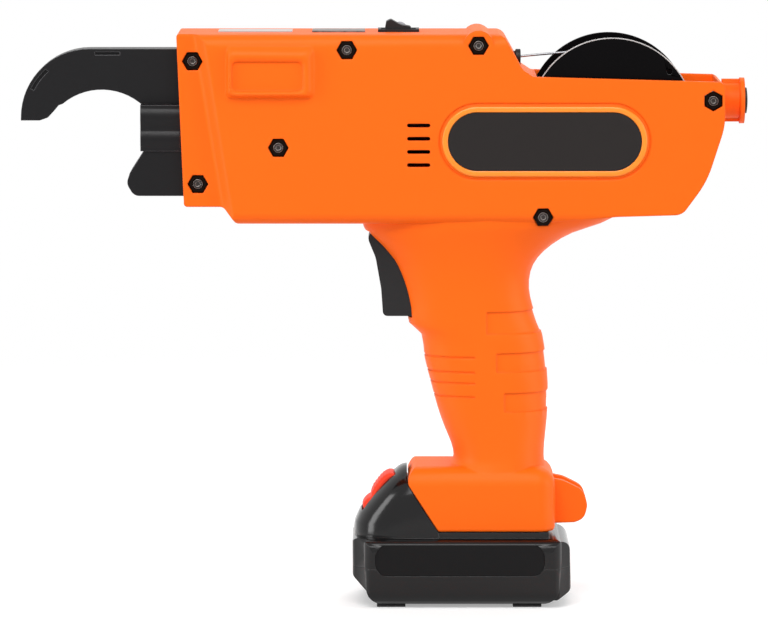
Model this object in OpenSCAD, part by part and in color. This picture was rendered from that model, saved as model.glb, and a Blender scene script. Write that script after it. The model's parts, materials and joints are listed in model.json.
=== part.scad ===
// Hand held rebar tying tool, standing on its battery. X runs from the nose to the rear.

/* [Head] */
// Front face of the housing
body_front = -86.3; // [-95:0.1:-82]
// Top face of the head
body_top = 240; // [238:0.5:246]
// Height of the head
head_h = 79; // [77:0.5:82]
// Height of the stepped nose
nose_h = 72; // [70:0.5:75]
// Half width of the head
body_half = 26; // [25:0.1:28]
// Step from the head down to the nose flanks
nose_step = 5; // [3:0.1:6]
// Drop from the top to the front end of the reel bay rim
rim_drop = 17.5; // [15:0.1:22]
// Wall of the housing
wall = 2.5; // [1.8:0.1:3]
// Rounding of the long upper edges
edge_r = 5; // [2:0.5:7]

/* [Grip] */
// Half width of the grip at its waist
grip_half_w = 18.4; // [16:0.1:21]
// Wall of the grip
grip_wall = 2.5; // [1.8:0.1:3]
// Half width of the foot
foot_half = 23.5; // [22:0.1:26]
// Underside of the foot
foot_bottom = 31.7; // [30.5:0.1:33]
// Height of the foot
foot_h = 26.8; // [25:0.1:30]
// Rear face of the foot
foot_rear = 71.7; // [70:0.1:74]
// Half gap between the lanyard lobes
lobe_gap = 5; // [4:0.1:7]
// Thickness of a lanyard lobe
lobe_t = 4; // [3:0.1:6]
// Depth of the panels behind the grip
panel_d = 0.6; // [0.3:0.1:1]
// Depth of the finger grooves
rib_d = 0.35; // [0.2:0.05:0.6]

/* [Nose] */
// Half thickness of the curl guide
guide_half = 6.5; // [5:0.1:8]
// Outer radius of the curl guide
guide_r = 28.7; // [27:0.1:29]
// Radius of the throat
throat_r = 25.5; // [24:0.1:26]
// Half width of the throat block
block_half = 13; // [11:0.1:14]
// Half width of the lower jaw
jaw_half = 12; // [10:0.1:14]
// Width of the wire groove
groove_w = 1.6; // [1.2:0.1:2.5]

/* [Drive] */
// Drop from the top to the twist spindle
spindle_drop = 38; // [37:0.1:39]
// Radius of the twist spindle
spindle_r = 4; // [3:0.1:4.5]
// Radius of the twist motor
motor_r = 16; // [14:0.1:16.5]
// Length of the twist motor
motor_l = 42; // [36:0.5:43]
// Radius of the gearbox
gearbox_r = 17; // [16:0.1:17.5]
// Length of the gearbox
gearbox_l = 25; // [20:0.5:25.5]
// Radius of the feed motor
feed_motor_r = 10; // [8:0.1:10.5]
// Length of the feed motor
feed_motor_l = 38; // [28:0.5:40]
// Radius of the feed wheels
feed_r = 6; // [5:0.1:6.4]
// Thickness of the feed wheels
feed_t = 4.5; // [3:0.1:5]
// Diameter of the tie wire
wire_d = 1; // [0.8:0.1:1.2]
// Running clearance on a radius
run_clear = 0.08; // [0.04:0.01:0.1]
// Clearance between faces that pass each other
gap = 0.4; // [0.3:0.05:0.6]

/* [Reel] */
// Drop from the top to the reel axis
reel_drop = 35.7; // [34.5:0.1:37]
// Radius of the reel flanges
reel_r = 34.2; // [32:0.1:34.8]
// Side room between the reel and the walls
reel_gap = 2.5; // [1.5:0.1:4]
// Thickness of a reel flange
flange_t = 1.6; // [1.2:0.1:2.5]
// Radius of the reel bore
reel_bore = 6.1; // [5:0.1:8]
// Height of the flanges over the wound core
flange_h = 8.7; // [8:0.1:14]
// Radius of the reel hub
hub_r = 13; // [10:0.5:18]
// Turns in the outer layer of wire
turns = 20; // [12:1:22]
// Travel of the reel pin
pin_travel = 10; // [9.5:0.1:12]

/* [Controls] */
// Half width of the trigger
trigger_half = 8; // [6:0.1:10]
// Travel of the trigger
trigger_travel = 6; // [3:0.1:7]
// Reach of the rear button behind the bay
button_reach = 10.8; // [9:0.1:12]
// Radius of the rear button
button_r = 5.4; // [4:0.1:6.5]
// Travel of the rear button
button_travel = 1; // [0.6:0.1:1.2]

/* [Battery] */
// Length of a cell
cell_l = 65; // [60:0.5:70]
// Height of the seam
seam_z = 16.7; // [12:0.1:20]
// Height of the feet
feet_h = 1.2; // [0.8:0.1:2]
// Half width of the slide tongue
tongue_half = 15; // [12:0.1:17]
// Wall of the battery
battery_wall = 1.8; // [1.5:0.1:2]
// Radius of a cell
cell_r = 9.1; // [8:0.1:9.2]
// Travel of the release button
release_travel = 2.5; // [1.5:0.1:3]

/* [Fasteners] */
// Radius of the housing screws
screw_r = 2; // [1.5:0.1:2.5]
// Width of a nut across its flats
nut_af = 7; // [6:0.1:8]
// Height of a nut
nut_h = 3.2; // [2.4:0.1:4]
// Depth of a nut pocket
pocket_d = 4.5; // [4:0.1:5.5]
// Radius of a screw boss
boss_r = 4; // [3.6:0.1:4.2]

/* [Hidden] */
$fn = 48;
eps = 0.01;

orange = "#ff7020";
black = "#29272a";
steel = "#b4b6ba";

// Heights in the head are measured down from its top face
function down(d) = body_top - d;
body_bottom = down(head_h);
nose_bottom = down(nose_h);
nose_half = body_half - nose_step;
foot_top = foot_bottom + foot_h;
spindle_z = down(spindle_drop);
rim_front_z = down(rim_drop);
rim_rear_z = rim_front_z - 2.2;

// Height of the wire between the feed wheels, and where they stand
feed_x = 46;
feed_z = down(13);
feed_y = feed_r + wire_d / 2 + gap;
bracket_t = 3;
bracket_z = feed_z - feed_t / 2 - gap - bracket_t;
inlet_z = feed_z + 2.3;

// Reel and the bay behind the feed motor
reel_half = body_half - wall - reel_gap;
core_r = reel_r - flange_h;
bay_r = reel_r + 2;
reel_x = feed_x + feed_motor_r + 0.1 + wall + bay_r;
reel_z = down(reel_drop);
rear_x = reel_x + reel_r + 12.6;
rim_x = feed_x + 16;

// Drive train along X, from the feed motor forwards
motor_x = feed_x - feed_motor_r - 6 - motor_l;
gearbox_x = motor_x - gearbox_l;
block_front = -101.7;
root_end = -73;
block_z = [spindle_z - 11.4, spindle_z + 7.9];

// Screw axes as [x, z, half width of the housing there]
screws = [[-79.6, down(11.3), nose_half], [-77.5, nose_bottom + 9.5, nose_half],
    [gearbox_x - 6.9, down(47), body_half], [-15.4, down(6.4), body_half],
    [feed_x - 6.8, down(4.6), body_half], [66.2, body_bottom + 3, body_half],
    [rear_x - 4.9, down(27.5), body_half]];
short_boss = screws[2];

// Lean of the front face from its top to the underside of the nose
front_lean = 3;
function front_x(z) = body_front + front_lean * (body_top - z) / (body_top - nose_bottom);

// Label recess and plate
label_x = [reel_x - 68.1, reel_x + 12.1];
label_z = [down(56.4), down(32.3)];
rim_w = 2.5;
rim_h = 0.8;
plate_t = 1.2;

// Rear boss, button and reel fittings
boss_z = down(29);
button_end = rear_x + button_reach;
boss_end = button_end - 1.5;
knob_t = 3.4;
dome_r = 30;
button_seat = 2.2;

// Guide tube ends
tube_rear = [feed_x - feed_r - 1.5, feed_z];
tube_front = [root_end + 0.3, down(18.2)];
tube_r = 1.6;

function unit(v) = v / norm(v);
// Arc that rounds corner b of an outline, where b is [x, y, radius]
function corner(a, b, c, steps) =
    let (p = [b.x, b.y], u = unit([a.x, a.y] - p), v = unit([c.x, c.y] - p),
        half = acos(max(-1, min(1, u * v))) / 2)
    b[2] == 0 || half > 89.5 ? [p] :
    let (m = p + unit(u + v) * b[2] / sin(half), s = p + u * b[2] / tan(half) - m,
        e = p + v * b[2] / tan(half) - m, a0 = atan2(s.y, s.x),
        turn = (atan2(e.y, e.x) - a0 + 540) % 360 - 180)
    [for (k = [0:steps]) m + b[2] * [cos(a0 + turn * k / steps), sin(a0 + turn * k / steps)]];
function rounded(pts, steps = 6) =
    let (n = len(pts))
    [for (i = [0:n - 1]) each corner(pts[(i + n - 1) % n], pts[i], pts[(i + 1) % n], steps)];
// Band between two radii about a centre
function band(c, r0, r1, a0, a1, steps = 10) = concat(
    [for (k = [0:steps]) c + r1 * [cos(a0 + (a1 - a0) * k / steps), sin(a0 + (a1 - a0) * k / steps)]],
    [for (k = [steps:-1:0]) c + r0 * [cos(a0 + (a1 - a0) * k / steps), sin(a0 + (a1 - a0) * k / steps)]]);

// Side outline carried across the width from y0 to y1
module across(y0, y1) {
    translate([0, y1, 0]) rotate([90, 0, 0]) linear_extrude(y1 - y0) children();
}
// Round bar across the width at [x, z]
module bar(p, r, y0, y1) {
    translate([p.x, y1, p.y]) rotate([90, 0, 0]) cylinder(r = r, h = y1 - y0);
}
// Round bar along the tool at [y, z]
module rod(p, r, x0, x1) {
    translate([x0, p.x, p.y]) rotate([0, 90, 0]) cylinder(r = r, h = x1 - x0);
}
module block(x, y, z) {
    translate([x[0], y[0], z[0]]) cube([x[1] - x[0], y[1] - y[0], z[1] - z[0]]);
}
// Pill outline of length x and height z, grown by g
module pill(x, z, g = 0) {
    polygon(rounded(pill_pts(x, z, g), 12));
}

// Side outline of the head
module head_outline() {
    polygon(rounded([[body_front, body_top, 1.2], [feed_x + 3.5, body_top, 5],
        [feed_x + 11.5, rim_front_z + 3, 5], [rim_x, rim_front_z, 2], [rear_x, rim_rear_z, 3],
        [rear_x, down(38), 30], [rear_x - 7.4, down(61), 40],
        [rear_x - 17.6, body_bottom + 4, 6], [97, body_bottom + 3.2, 20], [60, body_bottom, 20],
        [-61.4, body_bottom, 3], [-66.9, nose_bottom, 3], [body_front + front_lean, nose_bottom, 1.5]]));
}

// Cut that narrows the nose, with a slanted, softly rounded ramp behind it
ramp_w = 6;
module flank_cut(inset) {
    translate([-73.5, 0, down(40)]) rotate([0, -9.3, 0]) translate([0, 0, -60]) linear_extrude(120)
        polygon(concat([[-40, -nose_half + inset]], [for (k = [0:8])
            [inset * 0.4 + ramp_w * k / 8,
                -nose_half + inset - (nose_step + 0.02) * (1 - cos(22.5 * k)) / 2]],
            [[inset * 0.4 + ramp_w, -body_half - 4], [-40, -body_half - 4]]));
}

// Near half of the head, drawn in by inset
module head_half(inset, y_in) {
    difference() {
        intersection() {
            across(-body_half + inset, y_in) offset(delta = -inset) head_outline();
            translate([-160, 0, 0]) rotate([90, 0, 90]) linear_extrude(320)
                polygon(rounded([[-body_half + inset, body_bottom + inset, edge_r - inset / 2],
                    [-body_half + inset, body_top - inset, edge_r - inset / 2],
                    [10, body_top - inset, 0], [10, body_bottom + inset, 0]], 6));
        }
        flank_cut(inset);
    }
}

// Grip sections as [drawn height, front, rear, share of the swell to the head, share to the foot]
grip_sections = [[164.5, -9, 101, 1, 0], [160, -9, 92, 0.94, 0], [156, -7.5, 80, 0.73, 0],
    [151, -2.5, 71.2, 0.48, 0], [145, 2.6, 64.7, 0.26, 0], [139, 5.6, 61.6, 0.1, 0], [132, 8, 61, 0, 0],
    [125, 9.5, 62.4, -0.03, 0], [117.6, 10.6, 64.8, -0.02, 0], [112.8, 15.8, 66.6, 0, 0.02],
    [103, 17.1, 68.1, 0, 0.04], [92, 19.9, 69, 0, 0.08], [82, 22.6, 68.9, 0, 0.12],
    [74, 25.4, 68.3, 0, 0.2], [67, 28.3, 67.6, 0, 0.3], [62, 29.3, 67.4, 0, 0.4],
    [59.5, 28.2, 67.6, 0, 0.5], [57, 25, 68.2, 0, 0.62], [53, 21, 69.4, 0, 0.8],
    [49, 18.5, 70.6, 0, 0.94], [45, 17, 71.2, 0, 0.98]];
// Heights at which the foot ends and the head begins in those sections
grip_drawn = [59, 161];
grip_sides = 12;
grip_power = 2.5;
function grip_z(z) =
    foot_top + (z - grip_drawn[0]) * (body_bottom - foot_top) / (grip_drawn[1] - grip_drawn[0]);
function grip_w(s) =
    grip_half_w + s[3] * (body_half - 1.4 - grip_half_w) + s[4] * (foot_half - grip_half_w);
function bow(v) = sign(v) * pow(abs(v), 2 / grip_power);
// Section loop on the near side, closed past the parting plane by y_in
function grip_loop(s, inset, y_in) =
    let (c = (s[1] + s[2]) / 2, a = (s[2] - s[1]) / 2 - inset, b = grip_w(s) - inset, z = grip_z(s[0]))
    concat([[c + a, y_in, z]],
        [for (k = [0:grip_sides]) let (t = 180 * k / grip_sides)
            [c + a * bow(cos(t)), -b * bow(sin(t)), z]],
        [[c - a, y_in, z]]);
function spline(p, i, t) =
    let (n = len(p) - 1, a = p[max(0, i - 1)], b = p[i], c = p[min(n, i + 1)], d = p[min(n, i + 2)])
    b + 0.5 * t * (c - a + t * (2 * a - 5 * b + 4 * c - d + t * (3 * (b - c) + d - a)));
grip_rows = concat(
    [for (i = [0:len(grip_sections) - 2]) each [grip_sections[i], spline(grip_sections, i, 0.5)]],
    [grip_sections[len(grip_sections) - 1]]);
// Skin through rings of points, closed at both ends
module skin(rings) {
    n = len(rings[0]);
    m = len(rings);
    polyhedron([for (r = rings) each r], concat([[for (j = [0:n - 1]) j]],
        [for (i = [0:m - 2], j = [0:n - 1], s = [0, 1])
            let (a = i * n + j, b = i * n + (j + 1) % n)
            s == 0 ? [a, a + n, b] : [b, a + n, b + n]],
        [[for (j = [n - 1:-1:0]) (m - 1) * n + j]]));
}
// Outer skins take the finer rows
module grip_half(inset, y_in) {
    skin([for (s = inset > 1 ? grip_sections : grip_rows) grip_loop(s, inset, y_in)]);
}
// Stepped panels behind the grip and finger grooves in front, cut to a depth below its skin
module grip_relief() {
    difference() {
        for (p = [[42.9, 114.4, 123.6], [47.1, 98.5, 106.4], [50.4, 81.8, 89.7]])
            block([p.x, 80], [-40, 1], [grip_z(p.y), grip_z(p[2])]);
        grip_half(panel_d, 2);
    }
    difference() {
        for (z = [104.6, 98.4, 93.8, 88]) block([0, 38], [-40, 1], [grip_z(z) - 0.4, grip_z(z) + 0.4]);
        grip_half(rib_d, 2);
    }
}

// Slanted front of the foot, which the battery tower meets
foot_nose = [9.5, foot_top - 6];
foot_heel = [22.9, foot_bottom];
foot_turn = unit(foot_heel - foot_nose);
tower_step = gap * [foot_turn.y, -foot_turn.x];
// Near half of the foot, with one rounding over its top, rear and side
foot_r = 8;
foot_corner = 7;
function foot_loop(z, inset) =
    let (r = foot_corner - inset / 2, c = [foot_rear - inset - r, r + inset - foot_half])
    concat([[-10, 0, z], [-10, inset - foot_half, z]],
        [for (a = [-90:15:0]) [c.x + r * cos(a), c.y + r * sin(a), z]], [[foot_rear - inset, 0, z]]);
module foot_half() {
    intersection() {
        skin(concat([foot_loop(foot_bottom, 0.6), foot_loop(foot_bottom + 1.2, 0)],
            [for (a = [0:15:90]) foot_loop(foot_top - foot_r * (1 - sin(a)), foot_r * (1 - cos(a)))]));
        across(-foot_half - 1, 0) polygon(rounded([[13, foot_top + 1, 6], [foot_nose.x, foot_nose.y, 4],
            [foot_heel.x + foot_turn.x, foot_heel.y + foot_turn.y, 0], [foot_rear + 1, foot_bottom - 1, 0],
            [foot_rear + 1, foot_top + 1, 0]]));
    }
}
// Channel for the battery tongue and the terminals behind it
tongue_top = foot_bottom + 10.5;
tongue_end = 60;
tongue_neck = tongue_half - 3;
rail_z = foot_bottom + 5;
module tongue_channel() {
    block([0, 66], [-tongue_half - gap, 1], [rail_z - gap, tongue_top + gap]);
    block([0, 66], [-tongue_neck - gap, 1], [foot_bottom - 1, rail_z]);
    block([32, 62], [-12, 1], [tongue_top, foot_top - 4]);
}
module lobe() {
    across(-lobe_gap - lobe_t, -lobe_gap) polygon(rounded([[foot_rear - 3, foot_bottom + 21, 0],
        [foot_rear + 4, foot_bottom + 19.6, 10], [foot_rear + 12, foot_bottom + 15.6, 6],
        [foot_rear + 14, foot_bottom + 9.5, 6], [foot_rear + 12.6, foot_bottom + 3.6, 5],
        [foot_rear + 8.5, foot_bottom + 2, 4], [foot_rear - 3, foot_bottom + 1.6, 0]]));
}

// Loop of a rounded side outline at depth y
function side_loop(pts, y, steps) = [for (p = rounded(pts, steps)) [p.x, y, p.y]];
// Raised pad over the wire path, as [front, bottom, rear, top] of its foot and of its face
pad_foot = [-65.6, down(26.5), -28.8, down(4.6)];
pad_face = [-62.9, down(23.3), -33.8, down(11.3)];
pad_h = 3;
// Rounded frame of the pad, as [share of the way from foot to face, share of its height]
pad_frame = [[0, 0], [0.08, 0.12], [0.2, 0.42], [0.34, 0.76], [0.48, 0.94], [0.6, 1], [0.74, 0.98],
    [0.86, 0.88], [0.96, 0.74], [1, 0.5]];
module pad() {
    skin(concat([pad_loop([0, -0.3])], [for (f = pad_frame) pad_loop(f)]));
}
function pad_loop(f) = let (m = pad_foot + f.x * (pad_face - pad_foot))
    side_loop([[m[0], m[1], 2.2], [m[2], m[1], 2.2], [m[2], m[3], 2.2], [m[0], m[3], 2.2]],
        -body_half - pad_h * f.y, 4);
// Bead round the side plate
function pill_pts(x, z, g) = let (r = (z[1] - z[0]) / 2 + g - eps)
    [[x[0] - g, z[0] - g, r], [x[1] + g, z[0] - g, r], [x[1] + g, z[1] + g, r], [x[0] - g, z[1] + g, r]];
module bead() {
    skin([for (p = [[rim_w, 0.5], [rim_w, -0.4], [rim_w - 0.25, -0.68], [rim_w - 0.7, -rim_h],
        [0.7, -rim_h], [0.3, -0.7], [0.1, -0.4]])
        side_loop(pill_pts(label_x, label_z, p.x), -body_half + p.y, 12)]);
}

// Swelling round the screw above the feed wheels
bump_r = 6.3;
// Outer and inner walls of one housing half, without its own fittings
module shell_half() {
    difference() {
        union() {
            difference() {
                union() {
                    head_half(0, 0);
                    grip_half(0, 0);
                    foot_half();
                    lobe();
                    pad();
                    bar([screws[4].x, screws[4].y], bump_r, -body_half + eps, 0);
                }
                head_half(wall, 1);
                grip_half(grip_wall, 1);
                tongue_channel();
                block([rim_x + wall, rear_x - wall], [-body_half + wall, 1], [down(36), body_top + 10]);
            }
            intersection() {
                union() {
                    head_half(wall - eps, 0);
                    grip_half(grip_wall - eps, 0);
                }
                inner_features();
            }
        }
        // Bay hollow over the reel
        bar([reel_x, reel_z], bay_r, -body_half + wall, 1);
        // Front opening for the throat block and jaws
        block([body_front - 1, body_front + 6], [-block_half - gap, 1], [nose_bottom + 3.4, down(6.4)]);
        // Trigger slot
        block([-14, 16], [-trigger_half - gap, 1], [trigger_z - 0.6, body_bottom - 4.4]);
        // Rocker opening
        block([-1.7, 13.8], [-5.5, 1], [body_top - 8, body_top + 9]);
        // Wire inlet
        rod([0, inlet_z], 2.6, feed_x - 1, rim_x + 8);
        rod([0, inlet_z], 3.4, feed_x + 8.9, rim_x + 8);
        for (i = [0:3]) across(-body_half - 1, -body_half + wall + 1)
            polygon(rounded([for (p = [[0, 0], [9.6, 0], [9.6, 1.6], [0, 1.6]])
                [9.6 + p.x, down(55) + 5.5 * i + p.y, 0.75]], 4));
        for (s = screws) bar([s.x, s.y], screw_r + 0.15, -30, 1);
        grip_relief();
        // Bore for the stem of the rear boss
        rod([0, boss_z], 3 + run_clear, rear_x - 8, rear_x + 1);
    }
}
// Bosses, motor cradles and the wall in front of the reel
module inner_features() {
    for (s = screws) if (s.x > root_end) bar([s.x, s.y], boss_r, -body_half, s == short_boss ? -8 : 0);
    for (s = screws) if (s.x < root_end)
        bar([s.x, s.y], boss_r, -nose_half, s == screws[0] ? -guide_half - gap / 2 : -jaw_half - gap / 2);
    difference() {
        bar([reel_x, reel_z], bay_r + wall, -body_half, 0);
        bar([reel_x, reel_z], bay_r, -body_half - 1, 1);
        block([reel_x - 10, rear_x], [-40, 1], [body_bottom - 40, body_top + 20]);
        block([0, 70], [-40, 1], [rim_front_z + 2, body_top + 20]);
    }
    difference() {
        union() {
            block([motor_x + 4, motor_x + 6.5], [-body_half, 0], [body_bottom, spindle_z + 10]);
            block([motor_x + motor_l - 8, motor_x + motor_l - 5.5], [-body_half, 0],
                [body_bottom + 14, spindle_z + 10]);
            block([gearbox_x + 4, gearbox_x + 6.5], [-body_half, 0], [body_bottom, spindle_z + 10]);
        }
        rod([0, spindle_z], gearbox_r + 0.1, gearbox_x - 1, motor_x);
        rod([0, spindle_z], motor_r + 0.1, motor_x, motor_x + motor_l + 1);
        block([gearbox_x - 23, feed_x - 6], [-19, 1], [body_bottom, body_bottom + 20]);
    }
    difference() {
        block([feed_x - 12.5, feed_x + 9], [-body_half, 0],
            [bracket_z - feed_motor_l - 2.5, bracket_z - feed_motor_l]);
        block([feed_x - 20, feed_x + 20], [-5, 1], [body_bottom - 60, bracket_z - feed_motor_l - 5]);
    }
}

module left_housing() {
    color(orange) difference() {
        union() {
            shell_half();
            bead();
        }
        across(-body_half - 5, -body_half - rim_h + plate_t) pill(label_x, label_z, 0.15);
        // Fine groove outside the bead
        across(-body_half - 1, -body_half + 0.4) difference() {
            pill(label_x, label_z, rim_w + 1.5);
            pill(label_x, label_z, rim_w + 0.8);
        }
        for (s = screws) translate([s.x, -s[2] + pocket_d, s.y])
            rotate([90, s.x == screws[6].x ? 30 : 0, 0])
                cylinder(d = (nut_af + 0.6) / cos(30), h = 12, $fn = 6);
    }
}
module right_housing() {
    color(orange) difference() {
        mirror([0, 1, 0]) shell_half();
        for (s = screws) bar([s.x, s.y], 3.9, s[2] - pocket_d, s[2] + 12);
        bar([reel_x, reel_z], reel_bore + 0.02, 0, 40);
    }
}
module label_plate() {
    color(black) across(-body_half - rim_h, -body_half - rim_h + plate_t) pill(label_x, label_z);
}
module top_strip() {
    color("#e6ddd6") block([-69.2, -38.3], [-8, 8], [body_top, body_top + 0.5]);
}
module top_panel() {
    color("#77706e") block([-30, -7.9], [-8, 8], [body_top, body_top + 0.7]);
}

// Curl guide: a hooked arm with a wire groove round its throat
guide_c = [block_front - 21.5, down(7) - guide_r];
throat_c = [-118, down(49.6)];
module curl_guide() {
    color(black) difference() {
        across(-guide_half, guide_half) polygon(concat(
            [for (a = [90:6:180]) guide_c + guide_r * [cos(a), sin(a)]],
            rounded([[guide_c.x - guide_r, down(37), 0], [-144, down(37), 3], [-140.6, down(35.8), 2],
                [-138, down(33), 1], [-136, down(30.6), 0]], 4),
            [for (a = [130:-6:52]) throat_c + throat_r * [cos(a), sin(a)]],
            [[block_front, down(30)], [root_end, down(30)], [root_end, down(7)]]));
        // Wire groove round the throat
        intersection() {
            bar(throat_c, throat_r + 2.2, -groove_w / 2, groove_w / 2);
            block([-137, block_front + 4], [-5, 5], [down(35), down(10)]);
        }
        // Edge slots in both flanks
        for (s = [-1, 1]) scale([1, s, 1]) {
            across(-guide_half - 1, -guide_half + 1.6)
                polygon(band(guide_c, guide_r - 3, guide_r - 1.5, 132, 154));
            block([-120.8, -110.4], [-guide_half - 1, -guide_half + 1.6], [down(9.6), down(8.3)]);
        }
        bar([screws[0].x, screws[0].y], screw_r + 0.15, -20, 20);
        rod([0, tube_front.y], 0.8, -100, root_end + 1);
    }
}
swell_r = 7;
swell_h = 1;
swell_end = front_x(block_z[1]) - 0.1;
module throat_block() {
    color(black) difference() {
        union() {
            block([block_front, root_end - 3], [-block_half, block_half], block_z);
            block([front_x(block_z[0]) + wall + 0.1, front_x(block_z[0]) + wall + 2.8],
                [-nose_half + wall + 2.5, nose_half - wall - 2.5], [block_z[0] + 0.4, block_z[1] - 0.4]);
            // Cheeks that close the front on both sides of the curl guide
            for (s = [-1, 1]) scale([1, s, 1]) block([front_x(block_z[1]), front_x(block_z[1]) + 1.2],
                [guide_half + 0.2, block_half], [block_z[1] - 1, down(6.8)]);
            // Two shallow swells along each flank
            for (s = [-1, 1], t = [0.26, 0.74]) intersection() {
                rod([s * (block_half + swell_h - swell_r), block_z[0] + t * (block_z[1] - block_z[0])],
                    swell_r, block_front, swell_end);
                block([-200, 0], s > 0 ? [0, 40] : [-40, 0], [block_z[0], block_z[1]]);
            }
        }
        rod([0, spindle_z], 7.5, block_front - 1, -89);
        rod([0, spindle_z], 6.5, -90, root_end);
    }
}
jaw_top = block_z[0] - 0.1;
jaw_bottom = nose_bottom + 3.8;
module lower_jaw() {
    color(black) difference() {
        across(-jaw_half, jaw_half) polygon(rounded([[-100.4, jaw_top, 1], [-106.2, jaw_top - 9, 4],
            [-107.6, jaw_top - 13.5, 4], [-104.5, jaw_bottom, 4], [root_end, jaw_bottom, 0],
            [root_end, jaw_top, 0]]));
        block([-110, -97], [-groove_w / 2, groove_w / 2], [jaw_bottom - 2, jaw_top + 4]);
        bar([screws[1].x, screws[1].y], screw_r + 0.15, -20, 20);
    }
}
module front_bush() {
    color("#b58a45") difference() {
        rod([0, spindle_z], 6.45, -86, root_end - 3);
        rod([0, spindle_z], spindle_r + run_clear, -90, root_end);
    }
}
module cutter_die() {
    color(steel) difference() {
        block([root_end + 0.3, root_end + 7], [-4, 4], [tube_front.y - 5.8, tube_front.y + 4.2]);
        rod([0, tube_front.y], tube_r + gap, root_end + 3, root_end + 8);
        rod([0, tube_front.y], 0.8, root_end - 1, root_end + 5);
    }
}
// Tube that carries the wire from the feed wheels to the cutter
module tube_line(r, x0, x1) {
    d = tube_front - tube_rear;
    translate([tube_rear.x, 0, tube_rear.y]) rotate([0, atan2(d.x, d.y), 0])
        translate([0, 0, x0]) cylinder(r = r, h = x1 - x0);
}
tube_l = norm(tube_front - tube_rear) - 4;
module guide_tube() {
    color(steel) difference() {
        tube_line(tube_r, 0, tube_l);
        tube_line(0.8, -1, tube_l + 1);
    }
}
module wire_inlet() {
    color(black) difference() {
        union() {
            rod([0, inlet_z], 2.5, feed_x + feed_r + 1.5, feed_x + 11);
            rod([0, inlet_z], 3.3, feed_x + 9, feed_x + 11.2);
        }
        rod([0, inlet_z], 1.2, feed_x - 6, feed_x + 24);
    }
}
// Wire from the reel to the feed wheels
wire_start = [12, 2.6];
wire_end = [reel_x - 2.8 - feed_x, reel_z + core_r + 2.1 - feed_z];
wire_path = concat([[-4, 0], [0, 0.4], [6, 1.8], wire_start],
    [for (t = [0.25:0.25:1]) wire_start + t * (wire_end - wire_start) + [0, 0.3 * sin(180 * t)]]);
module wire_lead() {
    color(steel) skin([for (p = wire_path) [for (a = [0:45:315])
        [feed_x + p.x, wire_d / 2 * cos(a), feed_z + p.y + wire_d / 2 * sin(a)]]]);
}
module twist_motor() {
    color("#8d9096") {
        rod([0, spindle_z], motor_r, motor_x, motor_x + motor_l - 3);
        rod([0, spindle_z], motor_r - 4, motor_x + motor_l - 3, motor_x + motor_l);
    }
}
module gearbox() {
    color("#6d7076") difference() {
        rod([0, spindle_z], gearbox_r, gearbox_x, motor_x);
        rod([0, spindle_z], spindle_r + run_clear, gearbox_x - 1, gearbox_x + 10);
    }
}
module feed_motor() {
    color("#8d9096") difference() {
        translate([feed_x, -feed_y, bracket_z - feed_motor_l]) cylinder(r = feed_motor_r, h = feed_motor_l);
        translate([feed_x, -feed_y, bracket_z - 8]) cylinder(r = 1.5 + run_clear, h = 9);
    }
}
module feed_bracket() {
    color(steel) {
        difference() {
            block([feed_x - 7, feed_x + 8], [-feed_y - 8, feed_y + 6], [bracket_z, bracket_z + bracket_t]);
            translate([feed_x, -feed_y, bracket_z - 1]) cylinder(r = 2.2, h = bracket_t + 2);
        }
        translate([feed_x, feed_y, bracket_z]) cylinder(r = 1.5, h = bracket_t + feed_t + gap);
    }
}
// Grooved wheel on a vertical axis
module wheel() {
    difference() {
        cylinder(r = feed_r, h = feed_t, center = true);
        rotate_extrude() translate([feed_r, 0]) circle(r = wire_d * 0.4, $fn = 24);
    }
}
module feed_wheel() {
    color(steel) translate([feed_x, -feed_y, feed_z]) {
        wheel();
        translate([0, 0, bracket_z - 7 - feed_z]) cylinder(r = 1.5, h = feed_z - bracket_z + 7);
    }
}
module pinch_wheel() {
    color(steel) translate([feed_x, feed_y, feed_z]) difference() {
        wheel();
        cylinder(r = 1.5 + run_clear, h = 20, center = true);
    }
}
module twist_spindle() {
    color(steel) {
        rod([0, spindle_z], spindle_r, -89.5, gearbox_x + 8);
        rod([0, spindle_z], 7, root_end + 2, root_end + 18);
    }
}
// Two fingers that catch and twist the wire
module twist_hook() {
    color(steel) {
        difference() {
            rod([0, spindle_z], 6.6, -94, -89.5);
            block([-95, -91], [-1.5, 1.5], [spindle_z - 12, spindle_z + 13]);
        }
        for (s = [-1, 1]) translate([0, 0, spindle_z]) scale([1, s, 1])
            translate([0, 0, -2]) linear_extrude(4)
                polygon([[-93.9, 1.6], [-99, 2], [-100.6, 4.2], [-98, 5.6], [-93.9, 5.6]]);
    }
}
pcb_z = body_bottom + wall + 2.5;
module control_board() {
    color("#27633c") {
        block([-52, 4], [-18, 18], [pcb_z, pcb_z + 1.6]);
        for (x = [-44, -30, -14]) block([x, x + 9], [-8, 6], [pcb_z + 1.6, pcb_z + 6]);
        for (x = [-48, -14], y = [-14, 14]) translate([x, y, body_bottom + wall])
            cylinder(r = 2, h = pcb_z - body_bottom - wall);
    }
}
trigger_back = 13;
trigger_z = body_bottom - 40.1;
stem_z = trigger_z + 15.6;
switch_x = trigger_back + trigger_travel + 1;
module trigger_switch() {
    color(black) difference() {
        block([switch_x, switch_x + 26], [-12.2, 12.2], [stem_z - 12, stem_z + 12]);
        rod([0, stem_z], 2.5 + run_clear, switch_x - 1, switch_x + 8 + trigger_travel);
    }
}
module trigger() {
    color(black) {
        across(-trigger_half, trigger_half) polygon(rounded([[-8, trigger_z + 35.6, 3],
            [-3.5, trigger_z + 24.6, 12], [-1.2, trigger_z + 11.6, 20], [-0.4, trigger_z, 2],
            [trigger_back, trigger_z, 1], [trigger_back, trigger_z + 35.6, 1]], 5));
        rod([0, stem_z], 2.5, trigger_back - 1, switch_x + 6);
    }
}
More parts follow.
